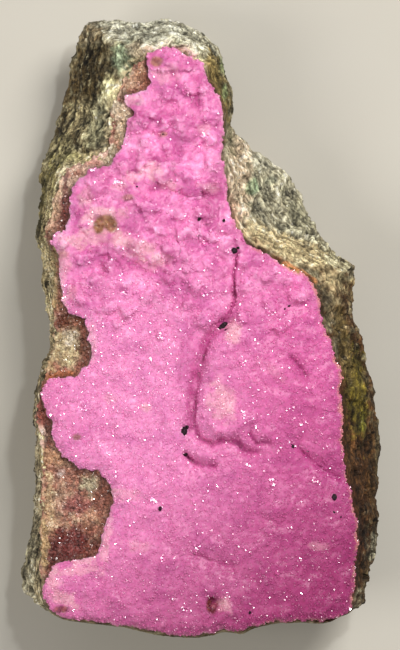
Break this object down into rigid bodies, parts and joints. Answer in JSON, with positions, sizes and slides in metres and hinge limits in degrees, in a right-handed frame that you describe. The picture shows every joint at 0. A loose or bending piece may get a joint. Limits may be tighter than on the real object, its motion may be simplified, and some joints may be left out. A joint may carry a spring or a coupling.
{
  "type": "cobaltoan dolomite specimen",
  "caption": "Pink sparkling crust of cobaltoan dolomite on a tapering slab of layered grey-green rock, with brown druse along one side, lying on its broken back.",
  "frame": {"origin": "centre of the footprint's bounding box, on the flat broken back that the slab rests on", "axes": "+Y from the broad end to the narrow end, +Z out of the crystal face, +X to the right when the crystal face is seen with the narrow end up"},
  "size_m": [0.0906, 0.1556, 0.0362],
  "materials": {
    "host_rock": "rough, finely layered grey-green to olive-brown rock with greenish stains",
    "brown_druse": "rusty brown to tan crust of tiny crystals, slightly sparkling",
    "pink_dolomite": "bright pink crust of small translucent crystals with glassy, sparkling faces"
  },
  "bodies": {
    "root": {"host_rock": "host_rock", "brown_druse": "brown_druse", "pink_dolomite_crust": "pink_dolomite"}
  },
  "joints": []
}
